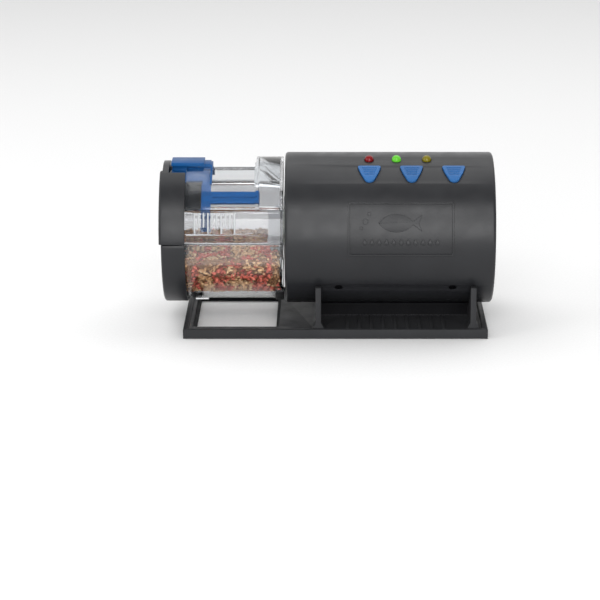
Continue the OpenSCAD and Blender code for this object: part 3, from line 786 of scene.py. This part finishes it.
@dataclass
class Controls:
    """Buttons, lamps and the board under them."""

    edge: float = 0.16 * MM
    bulb: float = 1.8 * MM
    lamps: dict[str, tuple[Colour, float]] = field(
        default_factory=lambda: {
            "led_red": ((0.24, 0.002, 0.005), 0.0),
            "led_green": ((0.08, 0.26, 0.02), 0.75),
            "led_yellow": ((0.23, 0.19, 0.004), 0.0),
        }
    )

    def build(self) -> None:
        """Model and dress the controls."""
        for side in ("left", "middle", "right"):
            body = f"button_{side}"
            eased_node(body, f"button_cap_{side}", Finish.BUTTON, body, self.edge)
        for node, (colour, lit) in self.lamps.items():
            low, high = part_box(node)
            # centre of each lens's painted highlight, at the front of the dome's top
            centre = Vector(((low.x + high.x) / 2, low.y + self.bulb, high.z - self.bulb))
            PAINT.node(node, LampLens(f"{node}_lens", colour, centre, lit))
        PAINT.node("control_board", Finish.BOARD)
        PAINT.node(["tact_switches", "timer_chip"], Finish.CHIP)


@dataclass
class GearTrain:
    """Motor, gears, shafts and plates."""

    def build(self) -> None:
        """Dress the gear train."""
        PAINT.node(["gear_plate", "output_gear", "gear_a", "gear_b"], Finish.NATURAL)
        PAINT.node(["drive_hub", "motor_end_bell"], Finish.NATURAL)
        PAINT.node(["motor_pinion", "hub_bushing"], Finish.BRASS)
        PAINT.node("gear_pins", Finish.STEEL)
        PAINT.node("motor_can", Finish.MOTOR)


@dataclass
class Power:
    """Cells with their springs, contact plates and leads."""

    coil: float = 3.3 * MM
    wire: float = 0.32 * MM
    turns: int = 4
    steps: int = 22
    plate: float = 8.0 * MM
    plate_depth: float = 0.4 * MM
    lead: float = 0.6 * MM
    slack: float = 0.1 * MM

    def spring(self, name: str, start: Vector, length: float) -> bpy.types.Object:
        """Wind a spring along X.

        Args:
            name: Name of the piece.
            start: Middle of its first turn.
            length: Its length, negative towards -X.

        Returns:
            The spring.
        """
        settle()
        bpy.ops.mesh.primitive_circle_add(vertices=8, radius=self.wire, location=start)
        obj = name_new(name)
        edit(obj)
        bpy.ops.transform.translate(value=(0, self.coil, 0))
        settle()
        screw = obj.modifiers.new("coil", "SCREW")
        screw.axis = "X"
        screw.angle = math.tau * self.turns
        screw.screw_offset = length
        screw.steps = screw.render_steps = self.steps * self.turns
        apply_all(obj)
        edit(obj)
        bpy.ops.mesh.select_mode(type="EDGE")
        bpy.ops.mesh.select_all(action="DESELECT")
        bpy.ops.mesh.select_non_manifold()
        bpy.ops.mesh.edge_face_add()
        bpy.ops.mesh.select_all(action="SELECT")
        bpy.ops.mesh.normals_make_consistent(inside=False)
        settle()
        bpy.ops.object.shade_smooth()
        return freeze(pick(obj))

    def contact(self, name: str, x: float, y: float, z: float) -> bpy.types.Object:
        """Press one contact plate with a raised dimple.

        Args:
            name: Name of the piece.
            x: Middle of the plate along X.
            y: Its middle along Y.
            z: Its middle along Z.

        Returns:
            The plate.
        """
        settle()
        scale = (self.plate_depth, self.plate, self.plate)
        bpy.ops.mesh.primitive_cube_add(size=1.0, location=(x, y, z), scale=scale)
        obj = freeze(name_new(name))
        edit(obj)
        choose_faces(obj, lambda c, n: abs(n.x) > 0.9)
        bpy.ops.mesh.inset(thickness=self.plate * 0.28, depth=0)
        bpy.ops.mesh.inset(thickness=self.plate * 0.06, depth=-self.plate_depth * 0.25)
        settle()
        return ease(obj, 0.08 * MM, 2, 50)

    def leads(self) -> None:
        """Run the leads from the holder and the motor to the board."""
        holder_low, holder_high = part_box("battery_holder")
        board_low, board_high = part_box("control_board")
        board = (board_low + board_high) / 2
        motor_low, motor_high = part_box("motor_end_bell")
        y = holder_low.y - self.lead * 1.1
        for side, finish in ((1, Finish.WIRE_RED), (-1, Finish.WIRE_BLACK)):
            x = holder_high.x - (4 if side > 0 else 7) * MM
            z = AXIS_Z + side * 3 * MM
            route = [
                Vector((x, y, z)),
                Vector((x, y - 3 * MM, z + 4 * MM)),
                Vector((x - 3 * MM, board_high.y - 6 * MM, board_low.z - 4 * MM)),
                Vector((x - 5 * MM, board.y, board.z - 2.2 * MM)),
            ]
            tone = "red" if side > 0 else "black"
            PAINT.piece(tube_through(f"cell_lead_{tone}", route, self.lead), finish, "housing")
            x = motor_high.x
            my = (motor_low.y + motor_high.y) / 2 + side * 4 * MM
            mz = (motor_low.z + motor_high.z) / 2
            route = [
                Vector((x - 0.4 * MM, my, mz)),
                Vector((x + 3 * MM, my, mz)),
                Vector((x + 6 * MM, my - side * 2 * MM, mz + 14 * MM)),
                Vector((x + 8 * MM, board_low.y + 6 * MM + side * MM, board_low.z + (5 - side) * MM)),
            ]
            PAINT.piece(tube_through(f"motor_lead_{tone}", route, self.lead), finish, "housing")

    def build(self) -> None:
        """Model and dress the cells, springs, plates and leads."""
        contacts_low, contacts_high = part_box("battery_contacts")
        first = True
        for node, nub_at_start in (("battery_upper", True), ("battery_lower", False)):
            low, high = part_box(node)
            PAINT.node(node, CellJacket(f"{node}_jacket", low.x, high.x, nub_at_start))
            y, z = (low.y + high.y) / 2, (low.z + high.z) / 2
            ends = (contacts_low.x + self.plate_depth / 2, contacts_high.x - self.plate_depth / 2)
            tag = node.removeprefix("battery_")
            for end, x in zip(("left", "right"), ends):
                plate = self.contact(f"contact_{tag}_{end}", x, y, z)
                PAINT.piece(plate, Finish.STEEL, "housing", ["battery_contacts"] if first else [])
                first = False
            seat = self.plate_depth / 2 + self.wire
            if nub_at_start:
                room, start, way = contacts_high.x - high.x, ends[1] - seat, -1
            else:
                room, start, way = low.x - contacts_low.x, ends[0] + seat, 1
            length = room - self.plate_depth - 2 * self.wire - self.slack
            spring = self.spring(f"spring_{tag}", Vector((start, y, z)), way * length)
            PAINT.piece(spring, Finish.STEEL, "housing")
        self.leads()


@dataclass
class Drum:
    """The clear trough with its lower cap, socket, catch and hinge pins."""

    edge: float = 0.25 * MM

    def build(self) -> None:
        """Model and dress the drum."""
        eased_node("drum_trough", "trough_moulding", Finish.DRUM, "drum", self.edge)
        eased_node("end_cap_lower", "cap_lower_moulding", Finish.CAP, "drum", 0.3 * MM)
        PAINT.node("drum_socket", Finish.SOCKET)
        PAINT.node("drum_catch", Finish.INNER)
        PAINT.node("hinge_pins", Finish.STEEL)


@dataclass
class Lid:
    """The clear lid with its dosing cover, upper cap and blue slider."""

    edge: float = 0.25 * MM
    drum_r: float = 31.0 * MM

    def build(self) -> None:
        """Model and dress the lid and the slider."""
        lid = eased_node("drum_lid", "lid_moulding", Finish.LID, "lid", 0.12 * MM)
        proud = self.drum_r + 0.12 * MM
        PAINT.part(lid, Finish.TICK, lambda c, n: math.hypot(c.y, c.z - AXIS_Z) > proud and c.y < 0)
        eased_node("dosing_cover", "cover_moulding", Finish.COVER, "lid", self.edge)
        eased_node("end_cap_upper", "cap_upper_moulding", Finish.CAP, "lid", 0.3 * MM)
        eased_node("dose_slider", "slider_moulding", Finish.SLIDER, "slider", 0.22 * MM)


@dataclass
class Feed:
    """A heap of dry flakes in the trough."""

    voxel: float = 1.1 * MM
    shrink: float = 2.0 * MM
    lumps: float = 2.6 * MM
    flakes: int = 9400
    largest: float = 2.4 * MM
    wall: float = 28.75 * MM
    patch: float = 6 * MM
    deepest: float = -0.6
    highest: float = 1.9
    seed: int = 11
    pattern: list[Vector] = field(init=False, default_factory=list)

    def heap(self) -> bpy.types.Object:
        """Model the heap's body from the solid that it replaces.

        Returns:
            The heap, a little inside its solid.
        """
        obj = merged_copy("feed_fill", "feed_heap")
        remesh = obj.modifiers.new("even", "REMESH")
        remesh.mode = "VOXEL"
        remesh.voxel_size = self.voxel
        cloud = bpy.data.textures.new("feed_lumps", "CLOUDS")
        cloud.noise_scale = 6 * MM
        shrink = obj.modifiers.new("shrink", "DISPLACE")
        shrink.strength = -self.shrink
        shrink.mid_level = 0.0
        lumps = obj.modifiers.new("lumps", "DISPLACE")
        lumps.texture = cloud
        lumps.strength = self.lumps
        lumps.mid_level = 0.75
        apply_all(obj)
        bpy.ops.object.shade_smooth()
        return obj

    def tone_at(self, at: Vector, rng: random.Random) -> float:
        """Tone of a flake: patches of red among tan, with some chance.

        Args:
            at: Where the flake lies.
            rng: The seeded source of chance.

        Returns:
            A tone from 0 to 1.
        """
        patch = noise.noise(at / self.patch)
        red = patch + rng.gauss(0, 0.1) > 0.13
        return rng.uniform(0.16, 0.36) if red else min(1.0, max(0.42, rng.gauss(0.72, 0.16)))

    def one_flake(self, rng: random.Random) -> list[Vector]:
        """Corners of one crumpled flake, about 1 across, from the pattern.

        Args:
            rng: The seeded source of chance.

        Returns:
            The corners, in the order of the flake pattern's.
        """
        corners = []
        for c in self.pattern:
            x = c.x * rng.uniform(0.9, 1.3)
            y = c.y * rng.uniform(0.45, 0.75)
            z = c.z * 0.36 + rng.uniform(-0.12, 0.12)
            corners.append(Vector((x, y, z)))
        return corners

    def scatter(self, heap: bpy.types.Object) -> bpy.types.Object:
        """Cover the heap with flakes.

        Args:
            heap: The heap's body.

        Returns:
            All the flakes as one piece.
        """
        settle()
        bpy.ops.mesh.primitive_ico_sphere_add(subdivisions=1, radius=0.5)
        seed_flake = name_new("feed_flakes")
        self.pattern = [v.co.copy() for v in seed_flake.data.vertices]
        sides = [tuple(p.vertices) for p in seed_flake.data.polygons]
        rng = random.Random(self.seed)
        low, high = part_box("feed_fill")
        faces = list(heap.data.polygons)
        picked = rng.choices(faces, weights=[p.area for p in faces], k=self.flakes)
        points: list[Vector] = []
        polygons: list[tuple[int, ...]] = []
        values: dict[str, list[float]] = {"tone": [], "level": []}
        for face in picked:
            size = rng.triangular(0.5, 1.0, 0.7) * self.largest
            turn = face.normal.to_track_quat("Z", "Y").to_matrix()
            lean = Matrix.Rotation(rng.gauss(0, 0.6), 3, "X")
            tilt = lean @ Matrix.Rotation(rng.uniform(0, math.tau), 3, "Z")
            corner = heap.data.vertices[rng.choice(face.vertices)].co
            depth = rng.uniform(self.deepest, self.highest)
            at = face.center.lerp(corner, rng.random()) + face.normal * depth * MM
            base = len(points)
            for c in self.one_flake(rng):
                p = at + turn @ (tilt @ (c * size))
                radial = math.hypot(p.y, p.z - AXIS_Z)
                if radial > self.wall:
                    p.y *= self.wall / radial
                    p.z = AXIS_Z + (p.z - AXIS_Z) * self.wall / radial
                p.x = min(max(p.x, low.x - 0.1 * MM), high.x + 0.1 * MM)
                points.append(p)
            polygons.extend(tuple(base + i for i in s) for s in sides)
            values["tone"].extend([self.tone_at(at, rng)] * len(sides))
            # painted shade: a flake's level sets how far its colour is darkened; deeper flakes get darker
            level = (depth - self.deepest) / (self.highest - self.deepest)
            values["level"].extend([level] * len(sides))
        mesh = bpy.data.meshes.new("feed_flakes")
        mesh.from_pydata(points, [], polygons)
        for name, numbers in values.items():
            mesh.attributes.new(name, "FLOAT", "FACE").data.foreach_set("value", numbers)
        seed_flake.data = mesh
        pick(seed_flake)
        bpy.ops.object.shade_flat()
        return seed_flake

    def build(self) -> None:
        """Model and dress the feed."""
        heap = self.heap()
        count = len(heap.data.polygons)
        # painted shade: the heap under the flakes takes a low level, so it shows dark in the gaps
        for name, value in (("tone", 0.5), ("level", 0.3)):
            heap.data.attributes.new(name, "FLOAT", "FACE").data.foreach_set("value", [value] * count)
        flakes = self.scatter(heap)
        PAINT.piece(heap, Finish.FEED, "drum", ["feed_fill"])
        PAINT.piece(flakes, Finish.FEED, "drum")


# ---------------------------------------------------------------- camera, floor and light


@dataclass
class Studio:
    """A pale floor, soft lamps and the camera."""

    lens: float = 140.4
    eye: Vector = field(default_factory=lambda: Vector((-0.57 * MM, -997.2 * MM, AXIS_Z + 257.9 * MM)))
    pitch: float = 16.287
    shift: float = -0.0433
    bands: tuple[tuple[float, float], ...] = (
        (0.0, 0.8),
        (0.16, 0.75),
        (0.27, 0.3),
        (0.42, 0.34),
        (0.55, 0.8),
        (1.0, 1.0),
    )

    def camera(self) -> None:
        """Place the camera."""
        data = bpy.data.cameras.new("camera")
        data.lens = self.lens
        data.sensor_width = 36.0
        data.shift_x = self.shift
        data.clip_start = 0.05
        data.clip_end = 20.0
        obj = bpy.data.objects.new("camera", data)
        obj.location = self.eye
        obj.rotation_euler = (math.radians(90 - self.pitch), 0, 0)
        bpy.context.collection.objects.link(obj)
        bpy.context.scene.camera = obj

    def floor(self) -> None:
        """Lay a pale floor under the tray."""
        settle()
        bpy.ops.mesh.primitive_plane_add(size=8.0, location=(0, 0, -0.2 * MM))
        plane = name_new("floor")
        w = Weave("floor_paper")
        tooth = w.noise(900.0, 2.0)
        stops = [(0.3, (0.77,) * 3), (0.7, (0.8,) * 3)]
        w.join(w.ramp(tooth, "Fac", stops), "Color", w.shader, "Base Color")
        w.fix(Roughness=0.85)
        plane.data.materials.append(w.material)

    def lamp(self, name: str, at: Vector, aim: Vector, size: tuple[float, float], power: float) -> None:
        """Hang a soft rectangular lamp.

        Args:
            name: The lamp's name.
            at: Where it hangs.
            aim: What it points at.
            size: Its width and height.
            power: Its power in watts.
        """
        data = bpy.data.lights.new(name, "AREA")
        data.shape = "RECTANGLE"
        data.size, data.size_y = size
        data.energy = power
        obj = bpy.data.objects.new(name, data)
        obj.location = at
        obj.rotation_euler = (aim - at).to_track_quat("-Z", "Y").to_euler()
        bpy.context.collection.objects.link(obj)

    def sky(self) -> None:
        """Surround the stage with white in bands: bright in front and behind, dimmer high in front."""
        world = bpy.data.worlds.new("surround")
        world.use_nodes = True
        tree = world.node_tree
        back = tree.nodes["Background"]
        coordinates = tree.nodes.new("ShaderNodeTexCoord")
        split = tree.nodes.new("ShaderNodeSeparateXYZ")
        tree.links.new(coordinates.outputs["Generated"], split.inputs["Vector"])
        span = tree.nodes.new("ShaderNodeMapRange")
        span.inputs["From Min"].default_value = -1.0
        tree.links.new(split.outputs["Y"], span.inputs["Value"])
        ramp = tree.nodes.new("ShaderNodeValToRGB")
        while len(ramp.color_ramp.elements) < len(self.bands):
            ramp.color_ramp.elements.new(0.5)
        for element, (place, level) in zip(ramp.color_ramp.elements, self.bands):
            element.position = place
            element.color = (level, level, level, 1.0)
        tree.links.new(span.outputs["Result"], ramp.inputs["Fac"])
        tree.links.new(ramp.outputs["Color"], back.inputs["Color"])
        bpy.context.scene.world = world

    def build(self) -> None:
        """Set up the studio."""
        self.camera()
        self.floor()
        self.sky()
        middle = Vector((0, 0, AXIS_Z))
        self.lamp("top_softbox", Vector((0.0, 0.3, 0.95)), middle, (1.5, 0.9), 5.0)
        self.lamp("front_softbox", Vector((0.1, -1.4, 0.33)), middle, (1.1, 0.8), 12.0)
        self.lamp("high_softbox", Vector((0.0, -1.1, 0.92)), middle, (0.9, 0.3), 5.0)
        self.lamp("left_softbox", Vector((-0.9, -0.4, 0.45)), middle, (0.5, 0.6), 3.0)
        view = bpy.context.scene.view_settings
        view.view_transform = "Standard"
        view.look = "None"


def main() -> None:
    """Build the feeder's sub-assemblies in order."""
    logging.basicConfig(level=logging.INFO, format="%(name)s: %(message)s")
    Studio().build()
    for part in (Tray(), Housing(), Controls(), GearTrain(), Power(), Drum(), Lid(), Feed()):
        LOG.info("building %s", type(part).__name__)
        part.build()


if __name__ == "__main__":
    main()
